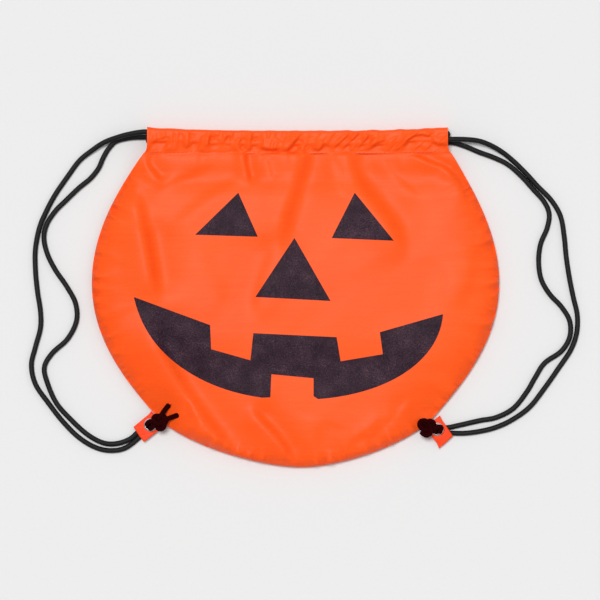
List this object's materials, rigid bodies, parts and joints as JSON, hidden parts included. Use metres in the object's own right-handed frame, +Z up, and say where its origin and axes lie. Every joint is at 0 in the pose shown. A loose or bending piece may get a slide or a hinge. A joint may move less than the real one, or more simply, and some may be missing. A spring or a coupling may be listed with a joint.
{
  "type": "drawstring treat bag",
  "caption": "Flat round drawstring bag for treats, with a jack-o'-lantern face printed on its front, cord straps through a hemmed mouth, and knots at eyelet tabs.",
  "frame": {"origin": "middle of the bag's outline, on the surface that the bag lies on", "axes": "+X towards the bag's left-hand side as the wearer of the print would see it, which is the viewer's right; +Y towards the mouth; +Z up, out of the printed front"},
  "size_m": [0.5506, 0.3398, 0.0245],
  "materials": {
    "orange_cloth": "satin plain-woven polyester",
    "print_ink": "dark plum-black ink soaked into the weave",
    "thread": "orange polyester sewing thread",
    "cord": "charcoal braided polyester cord",
    "cord_knot": "charcoal braided cord, pulled tight",
    "nickel": "nickel-plated, polished"
  },
  "bodies": {
    "back": {"back_panel": "orange_cloth", "back_hem_tunnel": "orange_cloth", "back_hem_stitching": "thread", "seam_allowance": "orange_cloth", "back_channel_cords": "cord", "left_strap_front_strand": "cord", "left_strap_back_strand": "cord", "right_strap_front_strand": "cord", "right_strap_back_strand": "cord"},
    "front": {"front_panel": "orange_cloth", "front_hem_tunnel": "orange_cloth", "front_hem_stitching": "thread", "left_eye_print": "print_ink", "right_eye_print": "print_ink", "nose_print": "print_ink", "mouth_print": "print_ink", "front_channel_cords": "cord"},
    "left_loop": {"left_return_loop": "cord"},
    "right_loop": {"right_return_loop": "cord"},
    "left_corner": {"left_tab": "orange_cloth", "left_eyelet": "nickel", "left_eyelet_washer": "nickel", "left_knot_tails": "cord_knot"},
    "right_corner": {"right_tab": "orange_cloth", "right_eyelet": "nickel", "right_eyelet_washer": "nickel"},
    "left_stop": {"left_knot": "cord_knot"},
    "right_stop": {"right_knot": "cord_knot"}
  },
  "joints": [
    {"name": "mouth_open", "type": "hinge", "parent": "back", "child": "front", "pos_m": [0, -0.17, 0.0064], "axis": [1, 0, 0], "range_deg": [0, 10], "deforming": ["front_panel", "left_return_loop", "right_return_loop", "left_strap_front_strand", "left_strap_back_strand", "right_strap_front_strand", "right_strap_back_strand"]},
    {"name": "left_tab_fold", "type": "hinge", "parent": "back", "child": "left_corner", "pos_m": [-0.13781, -0.12214, 0.0064], "axis": [-0.6293, 0.7771, 0], "range_deg": [0, 25], "deforming": ["left_knot_tails"]},
    {"name": "right_tab_fold", "type": "hinge", "parent": "back", "child": "right_corner", "pos_m": [0.13598, -0.12491, 0.0064], "axis": [-0.7986, -0.6018, 0], "range_deg": [0, 25]},
    {"name": "left_knot_lift", "type": "slide", "parent": "left_corner", "child": "left_stop", "axis": [0, 0, 1], "range_m": [0, 0.005]},
    {"name": "right_knot_lift", "type": "slide", "parent": "right_corner", "child": "right_stop", "axis": [0, 0, 1], "range_m": [0, 0.005]},
    {"name": "left_loop_pull", "type": "slide", "parent": "back", "child": "left_loop", "axis": [-1, 0, 0], "range_m": [0, 0.02]},
    {"name": "right_loop_pull", "type": "slide", "parent": "back", "child": "right_loop", "axis": [1, 0, 0], "range_m": [0, 0.02]}
  ]
}
